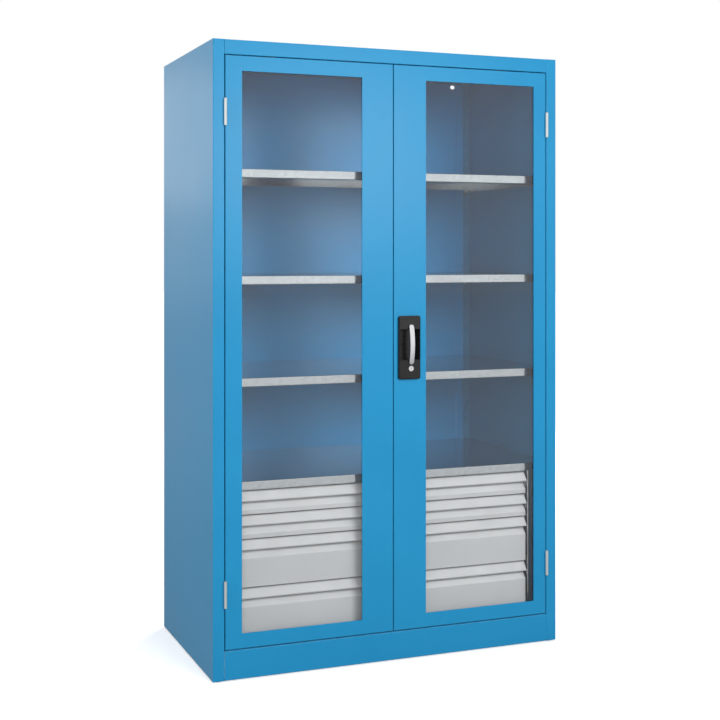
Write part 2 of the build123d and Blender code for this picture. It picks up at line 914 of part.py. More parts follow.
with BuildPart() as hinge_pins:
    for side in (-1, 1):
        for z in hinge_heights:
            with BuildSketch(Plane.XY.offset(z - pin_reach)):
                with Locations((side * hinge_x, hinge_y)):
                    Circle(pin_radius)
            extrude(amount=2 * pin_reach)

door_bore_depth = pin_reach + pin_end_gap

with BuildPart() as right_door_hinges:
    add(hinge_half_pair(door_leaf_x, 1, pin_radius + pin_play, door_bore_depth))

with BuildPart() as left_door_hinges:
    mirror(right_door_hinges.part, about=Plane.YZ)

# Handle plate with a sloping finger recess that reaches into the door

with BuildPart() as handle_plate:
    plate_z = plate_bottom + plate_height / 2
    recess_z = recess_bottom + recess_height / 2
    with BuildSketch(upright(front)):
        with Locations((plate_x, plate_z)):
            RectangleRounded(plate_width, plate_height, plate_corner)
    extrude(amount=plate_proud)
    chamfer(handle_plate.faces().sort_by(Axis.Y)[0].edges(), plate_edge)
    with BuildSketch(upright(front)):
        with Locations((plate_x, recess_z)):
            Rectangle(recess_skin_width + 2 * recess_wall, recess_skin_height + 2 * recess_wall)
    with BuildSketch(upright(front - plate_proud + recess_depth + recess_wall)):
        with Locations((plate_x, recess_z)):
            Rectangle(recess_floor_width + 2 * recess_wall, recess_floor_height + 2 * recess_wall)
    loft()
    with BuildSketch(upright(front - plate_proud)):
        with Locations((plate_x, recess_z)):
            Rectangle(recess_width, recess_height)
    with BuildSketch(upright(front - plate_proud + recess_depth)):
        with Locations((plate_x, recess_z)):
            Rectangle(recess_floor_width, recess_floor_height)
    loft(mode=Mode.SUBTRACT)
    with BuildSketch(upright(front - plate_proud)):
        with Locations((lock_x, lock_height)):
            Circle(plug_radius + plug_play)
    extrude(amount=-plate_proud, mode=Mode.SUBTRACT)

# Bow handle: an arched bar with rounded ends, on two feet that stand on the plate

with BuildPart() as bow_handle:
    bow_seat = front - plate_proud
    bow_top = bow_bottom + bow_length
    bow_middle = (bow_bottom + bow_top) / 2
    bow_front = front - bow_reach
    with BuildSketch(Plane.YZ.offset(lock_x)):
        with BuildLine():
            end_front = bow_seat - bow_end
            ThreePointArc((end_front, bow_bottom), (bow_front, bow_middle), (end_front, bow_top))
            Polyline(
                (end_front, bow_top),
                (bow_seat, bow_top),
                (bow_seat, bow_top - bow_foot),
                (bow_seat - bow_stand, bow_top - bow_foot),
            )
            ThreePointArc(
                (bow_seat - bow_stand, bow_top - bow_foot),
                (bow_front + bow_thickness, bow_middle),
                (bow_seat - bow_stand, bow_bottom + bow_foot),
            )
            Polyline(
                (bow_seat - bow_stand, bow_bottom + bow_foot),
                (bow_seat, bow_bottom + bow_foot),
                (bow_seat, bow_bottom),
                (end_front, bow_bottom),
            )
        make_face()
    extrude(amount=bow_width / 2, both=True)
    chamfer(bow_handle.edges().filter_by(GeomType.CIRCLE).group_by(Axis.Y)[0], bow_edge)
    with BuildSketch(upright(bow_seat)):
        with Locations((lock_x, bow_middle)):
            RectangleRounded(bow_width, bow_length, bow_end_round)
    extrude(amount=bow_reach, mode=Mode.INTERSECT)

# Key lock: a plug that turns, a cam with two pins, and the rods that the pins drive

with BuildPart() as lock_plug:
    plug_front = front - plate_proud - plug_proud
    with BuildSketch(upright(plug_front)):
        with Locations((lock_x, lock_height)):
            Circle(plug_radius)
    extrude(amount=-(front + cam_plane - plug_front))
    with BuildSketch(upright(plug_front)):
        with Locations((lock_x, lock_height)):
            SlotOverall(keyway_height, keyway_width, rotation=90)
    extrude(amount=-keyway_depth, mode=Mode.SUBTRACT)

with BuildPart() as lock_cam:
    cam_start = -lock_turn / 2
    pin_places = [
        (
            lock_x + cam_radius * cos(radians(cam_start + turn)),
            lock_height + cam_radius * sin(radians(cam_start + turn)),
        )
        for turn in (0, 180)
    ]
    with BuildSketch(upright(front + cam_plane)):
        with Locations((lock_x, lock_height)):
            Rectangle(2 * cam_radius + cam_width, cam_width, rotation=cam_start)
            Rectangle(2 * plug_radius, 2 * plug_radius - cam_width, rotation=cam_start)
    extrude(amount=-cam_sheet)
    with BuildSketch(upright(front + cam_plane + cam_sheet)):
        with Locations(*pin_places):
            Circle(cam_pin_radius)
    extrude(amount=-(rod_plane + rod_thickness + rod_side_play - cam_plane - cam_sheet))

rod_drop = cam_radius * sin(radians(lock_turn / 2))
slot_inner = cam_radius * cos(radians(lock_turn / 2)) - cam_pin_radius - rod_side_play
slot_outer = cam_radius + cam_pin_radius + rod_side_play
slot_half_height = cam_pin_radius + rod_play
rod_head = slot_half_height + rod_head_margin


def lock_rod(side, drive_z, far_z):
    """A flat rod from its drive slot to its far end; side is 1 right of the plug, -1 left of it."""
    near_z = drive_z - rod_head if far_z > drive_z else drive_z + rod_head
    with BuildPart() as rod:
        with BuildSketch(upright(front + rod_plane)):
            with Locations((lock_x + side * rod_x, (near_z + far_z) / 2)):
                Rectangle(rod_width, abs(far_z - near_z))
            with Locations((lock_x + side * (slot_inner + slot_outer) / 2, drive_z)):
                Rectangle(slot_outer - slot_inner, 2 * slot_half_height, mode=Mode.SUBTRACT)
        extrude(amount=-rod_thickness)
        tip = rod.faces().sort_by(Axis.Z)[-1 if far_z > drive_z else 0]
        chamfer(tip.edges().filter_by(Axis.Y), rod_tip_chamfer)
    return rod.part


with BuildPart() as upper_rod:
    add(lock_rod(1, lock_height - rod_drop, door_top - rod_withdrawn))

with BuildPart() as lower_rod:
    add(lock_rod(-1, lock_height + rod_drop, door_bottom + rod_withdrawn))

# Lock case round the cam, and the guides that hold the rods against the door

with BuildPart() as lock_case:
    case_front = front + door_sheet
    case_z = (case_bottom + case_top) / 2
    case_rear = front + case_back
    with BuildSketch(upright(case_front)):
        with Locations((lock_x, case_z)):
            Rectangle(case_width, case_height)
    extrude(amount=-(case_rear - case_front))
    with BuildSketch(upright(front + cam_plane - case_wall)):
        with Locations((lock_x, case_z)):
            Rectangle(case_width - 2 * case_wall, case_height - 2 * case_wall)
    extrude(amount=-(case_back - cam_plane), mode=Mode.SUBTRACT)
    for x, z in ((upper_rod_x, case_top - case_wall), (lower_rod_x, case_bottom)):
        with BuildSketch(Plane.XY.offset(z)):
            add(rod_hole(x))
        extrude(amount=case_wall, mode=Mode.SUBTRACT)
    with BuildSketch(upright(case_front)):
        with Locations((lock_x, lock_height)):
            Circle(plug_radius + plug_play)
    extrude(amount=-(cam_plane - case_wall), mode=Mode.SUBTRACT)

upper_guides = [plate_bottom + plate_height + guide_plate_gap, door_top - guide_end_gap]
lower_guides = [door_bottom + guide_end_gap, plate_bottom - guide_plate_gap - guide_height]

with BuildPart() as rod_guides:
    guide_front = front + door_sheet
    for x, heights in ((upper_rod_x, upper_guides), (lower_rod_x, lower_guides)):
        for z in heights:
            with BuildSketch(Plane.XY.offset(z)):
                with Locations((x, (guide_front + front + guide_back) / 2)):
                    Rectangle(guide_width, front + guide_back - guide_front)
                with Locations((x, front + rod_plane + rod_thickness / 2)):
                    Rectangle(rod_width + 2 * fit_gap, rod_thickness + 2 * fit_gap, mode=Mode.SUBTRACT)
            extrude(amount=guide_height)

# Write every piece

named_parts = {
    "left_side_panel": left_side_panel,
    "right_side_panel": right_side_panel,
    "back_panel": back_panel,
    "roof_panel": roof_panel,
    "floor_panel": floor_panel,
    "front_plinth": front_plinth,
    "rear_plinth": rear_plinth,
    "rod_keepers": rod_keepers,
    "levelling_feet": levelling_feet,
    "foot_brackets": foot_brackets,
    "upper_shelf": upper_shelf,
    "middle_shelf": middle_shelf,
    "lower_shelf": lower_shelf,
    "shelf_clips": shelf_clips,
    "drawer_unit_cover": drawer_unit_cover,
    "drawer_unit_left_wall": drawer_unit_left_wall,
    "drawer_unit_right_wall": drawer_unit_right_wall,
    "drawer_unit_rear_panel": drawer_unit_rear_panel,
    "fixed_runners": fixed_runners,
    "door_stops": door_stops,
    "door_buffers": door_buffers,
    "hinge_frame_halves": hinge_frame_halves,
    "hinge_pins": hinge_pins,
    "right_door_panel": right_door_panel,
    "right_door_pane": right_door_pane,
    "right_door_seal": right_door_seal,
    "right_door_glazing_strips": right_door_glazing_strips,
    "right_door_inner_cover": right_door_inner_cover,
    "right_door_hinges": right_door_hinges,
    "left_door_panel": left_door_panel,
    "left_door_pane": left_door_pane,
    "left_door_seal": left_door_seal,
    "left_door_glazing_strips": left_door_glazing_strips,
    "left_door_inner_cover": left_door_inner_cover,
    "left_door_hinges": left_door_hinges,
    "astragal_strip": astragal_strip,
    "handle_plate": handle_plate,
    "bow_handle": bow_handle,
    "lock_plug": lock_plug,
    "lock_cam": lock_cam,
    "lock_case": lock_case,
    "upper_rod": upper_rod,
    "lower_rod": lower_rod,
    "rod_guides": rod_guides,
}

os.makedirs("parts", exist_ok=True)
for name, piece in named_parts.items():
    piece.part.label = name
    export_step(piece.part, f"parts/{name}.step")
for name, part in drawer_parts.items():
    part.label = name
    export_step(part, f"parts/{name}.step")
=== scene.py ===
"""A storage cabinet with two window doors, three shelves and four drawers.

Metres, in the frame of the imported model. X runs along the front, Y from the front
to the back, and Z is up.
"""

import json
import math

import bmesh
import bpy
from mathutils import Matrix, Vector

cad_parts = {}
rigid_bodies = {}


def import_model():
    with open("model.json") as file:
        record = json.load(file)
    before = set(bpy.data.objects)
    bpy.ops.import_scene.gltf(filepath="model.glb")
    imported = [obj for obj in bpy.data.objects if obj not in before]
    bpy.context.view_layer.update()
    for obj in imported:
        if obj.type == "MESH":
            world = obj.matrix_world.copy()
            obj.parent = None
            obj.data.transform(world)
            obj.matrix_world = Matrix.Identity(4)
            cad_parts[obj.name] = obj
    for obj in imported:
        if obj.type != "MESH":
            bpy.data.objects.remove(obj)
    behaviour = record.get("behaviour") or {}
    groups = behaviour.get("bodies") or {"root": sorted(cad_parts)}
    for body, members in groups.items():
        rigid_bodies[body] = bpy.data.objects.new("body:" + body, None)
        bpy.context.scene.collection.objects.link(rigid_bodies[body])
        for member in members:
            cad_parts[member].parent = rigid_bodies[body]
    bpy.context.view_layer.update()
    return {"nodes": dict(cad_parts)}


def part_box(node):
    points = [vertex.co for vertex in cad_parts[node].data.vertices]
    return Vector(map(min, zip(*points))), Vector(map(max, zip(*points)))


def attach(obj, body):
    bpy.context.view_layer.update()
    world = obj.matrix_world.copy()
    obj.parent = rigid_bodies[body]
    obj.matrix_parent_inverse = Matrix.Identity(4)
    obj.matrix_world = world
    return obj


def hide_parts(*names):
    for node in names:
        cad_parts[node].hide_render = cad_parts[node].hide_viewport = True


# Photograph
FRAME_PIXELS = 720
FOCAL_PIXELS = 1299.07
HORIZON_ROW = 253.94
SENSOR_WIDTH = 36.0
CAMERA_PLACE = (-1.634, -4.1185, 1.298)
CAMERA_FACING = (0.3704, 0.9289, 0.0)

# Soft lamps: name, place, target, width, height, watts
SOFT_LAMPS = (
    ("key_lamp", (0.85, -4.3, 2.4), (-0.1, -0.3, 1.4), 2.2, 1.8, 142.0),
    ("fill_lamp", (-2.0, -4.6, 1.6), (-0.1, -0.3, 1.3), 2.2, 2.2, 82.0),
    ("side_lamp", (-4.6, -0.6, 1.8), (-0.6, 0.0, 1.1), 2.0, 2.0, 84.0),
    ("rear_lamp", (3.0, 3.8, 2.4), (0.2, 0.2, 1.1), 2.4, 2.4, 140.0),
    ("top_lamp", (0.0, 0.3, 4.4), (0.0, 0.1, 1.95), 2.0, 1.2, 66.0),
)

# Lamps that make the broad highlights on the paint, in the same columns
SHINE_LAMPS = (
    ("front_shine", (1.15, -4.2, 1.9), (-0.2, -0.3, 1.6), 1.8, 1.0, 54.0),
    ("side_shine", (-1.5, 3.6, 2.0), (-0.6, 0.0, 1.65), 1.2, 0.8, 2.2),
)

# Finishes that would mirror a shine lamp as a white patch
MIRRORING = ("clear_pane", "plain_steel", "hinge_steel", "bow_metal", "lock_metal")

# Room: how strongly it lights a surface, and one that lies behind a pane
ROOM_GLOW = 0.16
PANE_GLOW = 0.8

# Floor: its tones, its glow and mirrored glow, and from where to where each of them changes
FLOOR_RADIUS = 40.0
FLOOR_SIDES = 64
FLOOR_DROP = 0.0004
FLOOR_BOUNCE_TONE = 0.42
FLOOR_SEEN_TONE = 0.96
FLOOR_LIFT = 0.45
# Glow in mirrors: painted light in front of the cabinet, painted shade near it and behind it
FLOOR_MIRROR_GLOW_NEAR = 0.42
FLOOR_MIRROR_GLOW_REAR = 0.56
FLOOR_MIRROR_GLOW_FRONT = 0.88
FLOOR_AFAR = (1.5, 5.07)
FLOOR_FRONTWARD = (-0.82, -3.85)

# Colours, 0 to 255 on screen
DUST_TONE = (196, 198, 198)
# Tone of the painted shade in narrow creases
CREASE_SHADE_TONE = (54, 54, 54)
RUBBED_ZINC = (243, 244, 245)
RUBBED_METAL = (240, 241, 242)
PLASTIC_DUST = (150, 150, 148)

# Surface effects
EDGE_WEAR_GAIN = 5.0
CLOUD_SCALE = 7.0
WELD_COLUMN = 0.577
WELD_DEPTH = 2.5
PANE_IOR = 1.52

# Screws of the inner covers: their sizes, the radius and height of each ring, their places
SCREW_RADIUS = 0.0042
SCREW_HEIGHT = 0.0016
SCREW_SOCKET = 0.0018
SCREW_RINGS = (
    (SCREW_RADIUS, 0.0),
    (SCREW_RADIUS, SCREW_HEIGHT * 0.45),
    (SCREW_RADIUS * 0.86, SCREW_HEIGHT * 0.85),
    (SCREW_RADIUS * 0.6, SCREW_HEIGHT),
    (SCREW_SOCKET, SCREW_HEIGHT),
    (SCREW_SOCKET * 0.9, SCREW_HEIGHT * 0.35),
)
SCREW_SIDES = 16
SCREW_PITCH = 0.29
SCREW_FROM_END = 0.025
SCREW_FROM_EDGE = 0.0035
SCREW_CREASE = 40

# Bow handle
BOW_RINGS = 44
BOW_SIDES = 28
BOW_END_RISE = 0.0048
BOW_END_ROUND = 0.005
BOW_FOOT = 0.008
BOW_STAND = 0.002
BOW_THICKNESS = 0.0075
BOW_INNER_SHARE = 0.7
BOW_WIDTH_POWER = 0.8
BOW_DEPTH_POWER = 0.9
BOW_CREASE = 60


# Node helpers


def srgb(red, green, blue):
    """A colour given as 0 to 255 on screen, as a shader takes it."""
    linear = []
    for level in (red, green, blue):
        share = level / 255
        linear.append(share / 12.92 if share <= 0.04045 else ((share + 0.055) / 1.055) ** 2.4)
    return (*linear, 1.0)


def grey(tone):
    """A neutral colour as a shader takes it."""
    return (tone, tone, tone, 1.0)


def add_node(tree, kind, inputs=None, **settings):
    """A node of the given kind, with its settings and the values or links of its inputs."""
    node = tree.nodes.new(kind)
    for name, value in settings.items():
        setattr(node, name, value)
    for name, value in (inputs or {}).items():
        if isinstance(value, bpy.types.NodeSocket):
            tree.links.new(value, node.inputs[name])
        else:
            node.inputs[name].default_value = value
    return node


def math_node(tree, operation, first, second=0.0, third=0.0, clamped=False):
    """The result of one sum on one, two or three values."""
    inputs = {0: first, 1: second, 2: third}
    node = add_node(tree, "ShaderNodeMath", inputs, operation=operation, use_clamp=clamped)
    return node.outputs[0]


def varied(tree, value, low, high):
    """A value from 0 to 1 brought to the range from low to high."""
    return math_node(tree, "MULTIPLY_ADD", value, high - low, low)


def ramp(tree, value, start, end):
    """A share that is 0 up to the start and 1 from the end on."""
    slope = 1 / (end - start)
    return math_node(tree, "MULTIPLY_ADD", value, slope, -start * slope, clamped=True)


def blend_colours(tree, share, first, second):
    """The first colour, with the given share of the second one mixed in."""
    inputs = {0: share, 6: first, 7: second}
    return add_node(tree, "ShaderNodeMix", inputs, data_type="RGBA").outputs[2]


def noise_value(tree, place, scale, **settings):
    """The value of a noise that lies in the piece's own place."""
    inputs = {"Vector": place.outputs["Object"], "Scale": scale, **settings}
    return add_node(tree, "ShaderNodeTexNoise", inputs).outputs["Fac"]


def start_group(name, inputs, outputs):
    """An empty node group with its sockets; gives the group and its two end nodes."""
    group = bpy.data.node_groups.new(name, "ShaderNodeTree")
    sockets = group.interface
    for label, value in inputs.items():
        socket = sockets.new_socket(name=label, in_out="INPUT", socket_type="NodeSocketFloat")
        socket.default_value = value
    for label in outputs:
        sockets.new_socket(name=label, in_out="OUTPUT", socket_type="NodeSocketFloat")
    return group, group.nodes.new("NodeGroupInput"), group.nodes.new("NodeGroupOutput")


def use_group(tree, group, **inputs):
    """One use of a shared effect, with its own values."""
    node = tree.nodes.new("ShaderNodeGroup")
    node.node_tree = group
    for name, value in inputs.items():
        node.inputs[name.replace("_", " ")].default_value = value
    return node


# Shared effects


def make_edge_wear():
    """A mask of the thin band along outer edges, broken up by noise."""
    sockets = {"Width": 0.0012, "Amount": 0.5, "Scale": 60.0}
    group, given, result = start_group("edge_wear", sockets, ["Mask"])
    place = add_node(group, "ShaderNodeTexCoord")
    rounded = add_node(group, "ShaderNodeBevel", {"Radius": given.outputs["Width"]}, samples=4)
    surface = add_node(group, "ShaderNodeNewGeometry")
    normals = {0: rounded.outputs["Normal"], 1: surface.outputs["Normal"]}
    lean = add_node(group, "ShaderNodeVectorMath", normals, operation="DOT_PRODUCT")
    turned_away = math_node(group, "SUBTRACT", 1.0, lean.outputs["Value"])
    edge = math_node(group, "MULTIPLY", turned_away, EDGE_WEAR_GAIN)
    noise = noise_value(group, place, given.outputs["Scale"], Detail=3.0)
    broken = math_node(group, "MULTIPLY", edge, noise)
    mask = math_node(group, "MULTIPLY", broken, given.outputs["Amount"], clamped=True)
    group.links.new(mask, result.inputs["Mask"])
    return group


def make_fine_texture():
    """The fine skin of powder coat or moulded plastic: a height, and a slow mottle."""
    sockets = {"Scale": 900.0, "Mottle Scale": 5.0}
    group, given, result = start_group("fine_texture", sockets, ["Height", "Mottle"])
    place = add_node(group, "ShaderNodeTexCoord")
    skin = noise_value(group, place, given.outputs["Scale"], Detail=2.0)
    mottle = noise_value(group, place, given.outputs["Mottle Scale"], Detail=4.0, Roughness=0.6)
    group.links.new(skin, result.inputs["Height"])
    group.links.new(mottle, result.inputs["Mottle"])
    return group


def make_dust_and_top_light():
    """A mask of faces that look up: light dust, and on the drawers a painted highlight where
    they tilt up.
    """
    sockets = {"Amount": 0.2, "Scale": 14.0}
    group, given, result = start_group("dust_and_top_light", sockets, ["Mask"])
    place = add_node(group, "ShaderNodeTexCoord")
    surface = add_node(group, "ShaderNodeNewGeometry")
    facing = add_node(group, "ShaderNodeSeparateXYZ", {"Vector": surface.outputs["Normal"]})
    upward = math_node(group, "MAXIMUM", facing.outputs["Z"], 0.0)
    noise = noise_value(group, place, given.outputs["Scale"], Detail=5.0)
    patchy = math_node(group, "MULTIPLY", upward, varied(group, noise, 0.2, 0.8))
    mask = math_node(group, "MULTIPLY", patchy, given.outputs["Amount"], clamped=True)
    group.links.new(mask, result.inputs["Mask"])
    return group


def make_crease_shade():
    """A mask of narrow creases, where little light comes in: painted shade that darkens them."""
    sockets = {"Reach": 0.01, "Amount": 1.0}
    group, given, result = start_group("crease_shade", sockets, ["Mask"])
    inputs = {"Distance": given.outputs["Reach"]}
    openness = add_node(group, "ShaderNodeAmbientOcclusion", inputs, samples=8)
    closed = math_node(group, "SUBTRACT", 1.0, openness.outputs["AO"])
    mask = math_node(group, "MULTIPLY", closed, given.outputs["Amount"], clamped=True)
    group.links.new(mask, result.inputs["Mask"])
    return group


def make_zinc_spangle():
    """The frosted crystals of galvanised sheet: a tone and a height for each crystal."""
    sockets = {"Scale": 90.0, "Soften": 0.35}
    group, given, result = start_group("zinc_spangle", sockets, ["Tone", "Height"])
    place = add_node(group, "ShaderNodeTexCoord")
    inputs = {"Vector": place.outputs["Object"], "Scale": given.outputs["Scale"]}
    crystals = add_node(group, "ShaderNodeTexVoronoi", inputs)
    parts = add_node(group, "ShaderNodeSeparateColor", {"Color": crystals.outputs["Color"]})
    cloud = noise_value(group, place, CLOUD_SCALE, Detail=4.0)
    kept = math_node(group, "SUBTRACT", 1.0, given.outputs["Soften"])
    crystal_part = math_node(group, "MULTIPLY", parts.outputs["Red"], kept)
    tone = math_node(group, "MULTIPLY_ADD", cloud, given.outputs["Soften"], crystal_part)
    group.links.new(tone, result.inputs["Tone"])
    group.links.new(parts.outputs["Green"], result.inputs["Height"])
    return group


def make_rolled_lines():
    """Fine lines along Z, as on drawn strip and brushed bar."""
    sockets = {"Across": 700.0, "Along": 9.0}
    group, given, result = start_group("rolled_lines", sockets, ["Lines"])
    place = add_node(group, "ShaderNodeTexCoord")
    across, along = given.outputs["Across"], given.outputs["Along"]
    stretch = add_node(group, "ShaderNodeCombineXYZ", {"X": across, "Y": across, "Z": along})
    factors = {0: place.outputs["Object"], 1: stretch.outputs["Vector"]}
    scaled = add_node(group, "ShaderNodeVectorMath", factors, operation="MULTIPLY")
    inputs = {"Vector": scaled.outputs["Vector"], "Scale": 1.0, "Detail": 3.0}
    lines = add_node(group, "ShaderNodeTexNoise", inputs)
    group.links.new(lines.outputs["Fac"], result.inputs["Lines"])
    return group


def make_spot_welds():
    """The shallow round marks of spot welds, in a column near each side of the back panel."""
    sockets = {"Pitch": 0.12, "Radius": 0.0035}
    group, given, result = start_group("spot_welds", sockets, ["Dip"])
    place = add_node(group, "ShaderNodeTexCoord")
    parts = add_node(group, "ShaderNodeSeparateXYZ", {"Vector": place.outputs["Object"]})
    along = math_node(group, "PINGPONG", parts.outputs["Z"], given.outputs["Pitch"])
    from_middle = math_node(group, "ABSOLUTE", parts.outputs["X"])
    across = math_node(group, "SUBTRACT", from_middle, WELD_COLUMN)
    offset = add_node(group, "ShaderNodeCombineXYZ", {"X": across, "Y": along})
    inputs = {0: offset.outputs["Vector"]}
    reach = add_node(group, "ShaderNodeVectorMath", inputs, operation="LENGTH")
    dip = math_node(group, "LESS_THAN", reach.outputs["Value"], given.outputs["Radius"])
    group.links.new(dip, result.inputs["Dip"])
    return group


# Materials


def start_material(name, colour, metallic=0.0, specular=0.5):
    """A material with its own shader node; gives the material, its tree and the shader."""
    material = bpy.data.materials.new(name)
    material.use_nodes = True
    material.diffuse_color = colour
    shader = material.node_tree.nodes["Principled BSDF"]
    shader.inputs["Metallic"].default_value = metallic
    shader.inputs["Specular IOR Level"].default_value = specular
    return material, material.node_tree, shader


def worn_edges(tree, colour, rubbed, width, amount, scale):
    """The colour, rubbed to another one along outer edges."""
    edges = use_group(tree, EFFECTS["edge_wear"], Width=width, Amount=amount, Scale=scale)
    return blend_colours(tree, edges.outputs["Mask"], colour, srgb(*rubbed))


def add_dust_and_top_light(tree, colour, dust_and_light, amount, scale):
    """The colour, paler on the faces that look up: dust, and on the drawers a painted highlight.
    """
    dust_and_light_mask = use_group(tree, EFFECTS["dust_and_top_light"], Amount=amount, Scale=scale)
    return blend_colours(tree, dust_and_light_mask.outputs["Mask"], colour, srgb(*dust_and_light))


def set_look(tree, shader, colour, rough):
    """Links the colour and the roughness."""
    tree.links.new(colour, shader.inputs["Base Color"])
    tree.links.new(rough, shader.inputs["Roughness"])


def set_bump(tree, shader, height, strength, distance):
    """Lets a height shape the surface's normal."""
    inputs = {"Height": height, "Strength": strength, "Distance": distance}
    bump = add_node(tree, "ShaderNodeBump", inputs)
    tree.links.new(bump.outputs["Normal"], shader.inputs["Normal"])


def powder_coat(
    name,
    dark,
    light,
    rubbed,
    roughness,
    gloss=0.2,
    dust_and_light=0.16,
    dust_and_light_tone=DUST_TONE,
    crease_shading=0.0,
    welds=False,
):
    """Powder coat: mottled colour, orange-peel skin, rubbed edges, upward dust that is a painted
    highlight on the drawers, and painted shade in creases.
    """
    material, tree, shader = start_material(name, srgb(*light), specular=gloss)
    skin = use_group(tree, EFFECTS["fine_texture"], Scale=850.0, Mottle_Scale=4.0)
    mottle, height = skin.outputs["Mottle"], skin.outputs["Height"]
    colour = blend_colours(tree, mottle, srgb(*dark), srgb(*light))
    # Faces that look up turn paler: dust, and on the drawers a painted highlight
    colour = add_dust_and_top_light(tree, colour, dust_and_light_tone, amount=dust_and_light, scale=11.0)
    colour = worn_edges(tree, colour, rubbed, width=0.0011, amount=0.25, scale=45.0)
    # Painted shade: the colour darkens in narrow creases and gaps, where little light comes in
    if crease_shading:
        creases = use_group(tree, EFFECTS["crease_shade"], Reach=0.01, Amount=crease_shading)
        colour = blend_colours(tree, creases.outputs["Mask"], colour, srgb(*CREASE_SHADE_TONE))
    set_look(tree, shader, colour, varied(tree, mottle, roughness - 0.05, roughness + 0.05))
    if welds:
        marks = use_group(tree, EFFECTS["spot_welds"])
        height = math_node(tree, "MULTIPLY_ADD", marks.outputs["Dip"], -WELD_DEPTH, height)
    set_bump(tree, shader, height, strength=0.22, distance=0.0002)
    return material


def galvanised(name, dark, light, roughness):
    """Smooth galvanised sheet with faint crystals, bright enough to mirror the room."""
    material, tree, shader = start_material(name, srgb(*light), metallic=1.0)
    spangle = use_group(tree, EFFECTS["zinc_spangle"], Scale=110.0, Soften=0.45)
    tone = spangle.outputs["Tone"]
    colour = blend_colours(tree, tone, srgb(*dark), srgb(*light))
    colour = worn_edges(tree, colour, RUBBED_ZINC, width=0.0008, amount=0.3, scale=70.0)
    set_look(tree, shader, colour, varied(tree, tone, roughness - 0.03, roughness + 0.05))
    set_bump(tree, shader, spangle.outputs["Height"], strength=0.03, distance=0.0001)
    return material


def bare_metal(name, dark, light, roughness, across=700.0, along=9.0):
    """Plated or bare metal with fine drawn lines."""
    material, tree, shader = start_material(name, srgb(*light), metallic=1.0)
    drawn = use_group(tree, EFFECTS["rolled_lines"], Across=across, Along=along)
    lines = drawn.outputs["Lines"]
    colour = blend_colours(tree, lines, srgb(*dark), srgb(*light))
    colour = worn_edges(tree, colour, RUBBED_METAL, width=0.0006, amount=0.4, scale=120.0)
    set_look(tree, shader, colour, varied(tree, lines, roughness - 0.06, roughness + 0.06))
    set_bump(tree, shader, lines, strength=0.05, distance=0.0001)
    return material


def moulded(name, dark, light, rubbed, roughness, gloss=0.5, depth=0.3):
    """Moulded plastic or rubber with a fine grain."""
    material, tree, shader = start_material(name, srgb(*light), specular=gloss)
    skin = use_group(tree, EFFECTS["fine_texture"], Scale=1400.0, Mottle_Scale=18.0)
    mottle = skin.outputs["Mottle"]
    colour = blend_colours(tree, mottle, srgb(*dark), srgb(*light))
    colour = add_dust_and_top_light(tree, colour, PLASTIC_DUST, amount=0.12, scale=40.0)
    colour = worn_edges(tree, colour, rubbed, width=0.0008, amount=0.5, scale=90.0)
    set_look(tree, shader, colour, varied(tree, mottle, roughness - 0.06, roughness + 0.06))
    set_bump(tree, shader, skin.outputs["Height"], strength=depth, distance=0.00015)
    return material


def clear_sheet(name, dark, light):
    """The clear panes: faint haze on a smooth face, and lamps reach what is behind."""
    material, tree, shader = start_material(name, srgb(*light))
    shader.inputs["Transmission Weight"].default_value = 1.0
    shader.inputs["IOR"].default_value = PANE_IOR
    haze = use_group(tree, EFFECTS["fine_texture"], Scale=60.0, Mottle_Scale=6.0)
    mottle = haze.outputs["Mottle"]
    colour = blend_colours(tree, mottle, srgb(*dark), srgb(*light))
    set_look(tree, shader, colour, varied(tree, mottle, 0.0, 0.03))
    path = add_node(tree, "ShaderNodeLightPath")
    passing = add_node(tree, "ShaderNodeBsdfTransparent", {"Color": grey(1.0)})
    share = path.outputs["Is Shadow Ray"]
    inputs = {0: share, 1: shader.outputs["BSDF"], 2: passing.outputs["BSDF"]}
    mixed = add_node(tree, "ShaderNodeMixShader", inputs)
    tree.links.new(mixed.outputs["Shader"], tree.nodes["Material Output"].inputs["Surface"])
    return material


def make_finishes():
    """Every finish by name: its darker and lighter tone, its rubbed tone and its roughness."""
    return {
        "body_paint": powder_coat(
            "body_paint", (28, 129, 177), (36, 139, 187), (98, 168, 207), 0.3
        ),
        # The back panel: the body's blue painted lighter and bluer, a painted light for the
        # shaded inside
        "back_paint_lightened": powder_coat(
            "back_paint_lightened",
            (22, 150, 214),
            (30, 160, 224),
            (98, 179, 228),
            0.38,
            gloss=0.5,
            welds=True,
        ),
        # The drawers: a near-white painted highlight on the faces that tilt up, and painted
        # shade in creases and gaps
        "drawer_paint": powder_coat(
            "drawer_paint",
            (181, 183, 184),
            (190, 192, 193),
            (220, 221, 221),
            0.42,
            dust_and_light=0.85,
            dust_and_light_tone=(244, 245, 245),
            crease_shading=1.0,
        ),
        "zinc_sheet": galvanised("zinc_sheet", (190, 195, 198), (204, 209, 212), 0.15),
        "plain_steel": bare_metal("plain_steel", (176, 178, 180), (206, 208, 210), 0.34),
        "hinge_steel": bare_metal("hinge_steel", (222, 222, 220), (240, 240, 237), 0.4),
        "bow_metal": bare_metal(
            "bow_metal", (214, 216, 219), (236, 237, 239), 0.24, across=1500.0, along=40.0
        ),
        "lock_metal": bare_metal(
            "lock_metal", (214, 215, 217), (232, 233, 235), 0.16, across=2500.0, along=2500.0
        ),
        "black_plastic": moulded(
            "black_plastic", (13, 13, 14), (20, 20, 21), (48, 49, 51), 0.28, gloss=0.3
        ),
        "black_rubber": moulded(
            "black_rubber", (22, 22, 23), (30, 30, 31), (48, 48, 50), 0.62, depth=0.2
        ),
        "clear_pane": clear_sheet("clear_pane", (244, 246, 247), (251, 252, 252)),
    }


